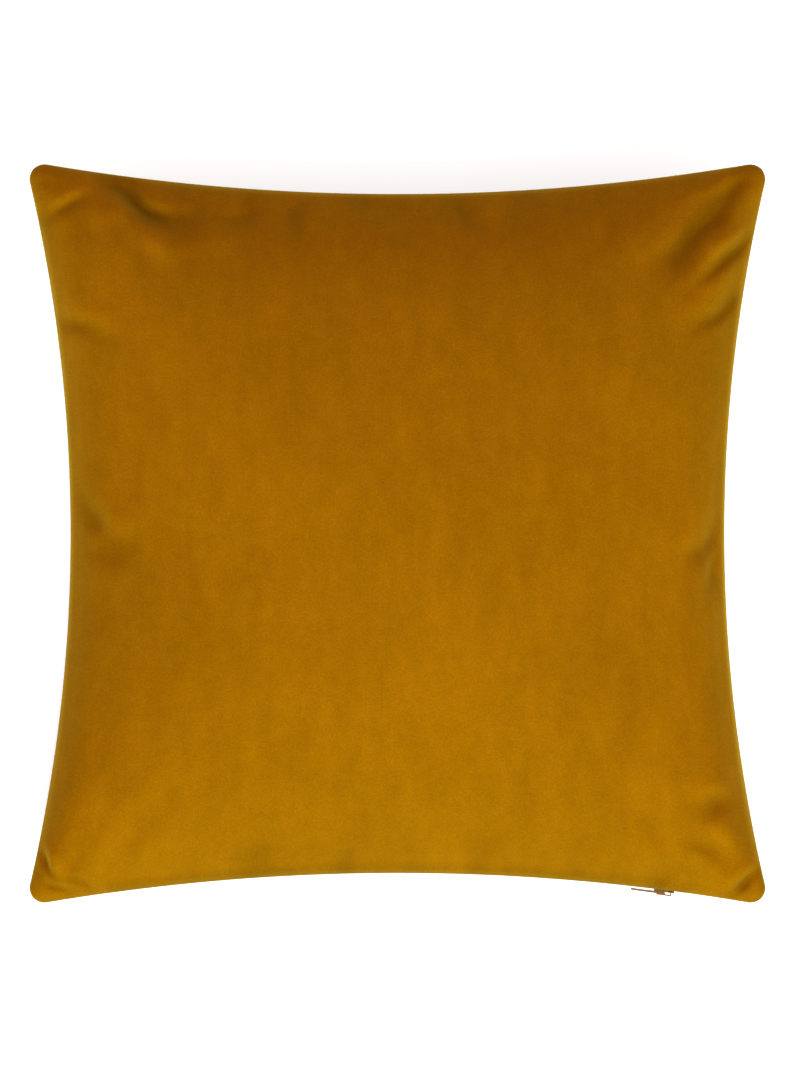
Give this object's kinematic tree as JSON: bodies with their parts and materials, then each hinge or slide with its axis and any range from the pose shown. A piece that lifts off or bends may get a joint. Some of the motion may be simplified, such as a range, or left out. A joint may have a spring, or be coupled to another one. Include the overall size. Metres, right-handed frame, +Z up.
{
  "type": "throw pillow",
  "caption": "Square mustard velvet throw pillow with plain knife-edge seams, a concealed zip in one edge and a removable fibre-filled pad.",
  "frame": {"origin": "On the floor, under the middle of the pillow, which lies on its back panel.", "axes": "+Z up through the front panel; +Y from the zip edge to the edge opposite; +X to the right, towards the end where the zip is shut."},
  "size_m": [0.4386, 0.4402, 0.1421],
  "materials": {
    "velvet": "matte",
    "sewing_thread": "satin",
    "zip_tape": "matte",
    "zip_coil": "gloss",
    "zip_metal": "satin",
    "pad_casing": "matte",
    "pad_thread": "satin",
    "label_satin": "satin",
    "fibre_fill": "matte"
  },
  "bodies": {
    "cushion": {"cover_front": "velvet", "cover_back": "velvet", "zip_tape_front": "zip_tape", "zip_tape_back": "zip_tape", "zip_stitching_front": "sewing_thread", "zip_stitching_back": "sewing_thread", "zip_coil_front": "zip_coil", "zip_coil_back": "zip_coil", "zip_top_stop_front": "zip_metal", "zip_top_stop_back": "zip_metal", "zip_bottom_stop": "zip_metal", "cover_seam_thread": "sewing_thread", "cover_care_label": "label_satin", "pad_casing_front": "pad_casing", "pad_casing_back": "pad_casing", "pad_seam_thread": "pad_thread", "pad_care_label": "label_satin", "pad_fibre_fill": "fibre_fill"},
    "slider": {"zip_slider": "zip_metal"},
    "pull": {"zip_pull": "zip_metal"}
  },
  "joints": [
    {"name": "slider_travel", "type": "hinge", "parent": "cushion", "child": "slider", "pos_m": [0, -1.45016, 0.058], "axis": [0, 0, 1], "range_deg": [0, 14.66]},
    {"name": "pull_swing", "type": "hinge", "parent": "slider", "child": "pull", "pos_m": [0.15903, -0.21459, 0.058], "axis": [0, 0, 1], "range_deg": [0, 175]}
  ]
}
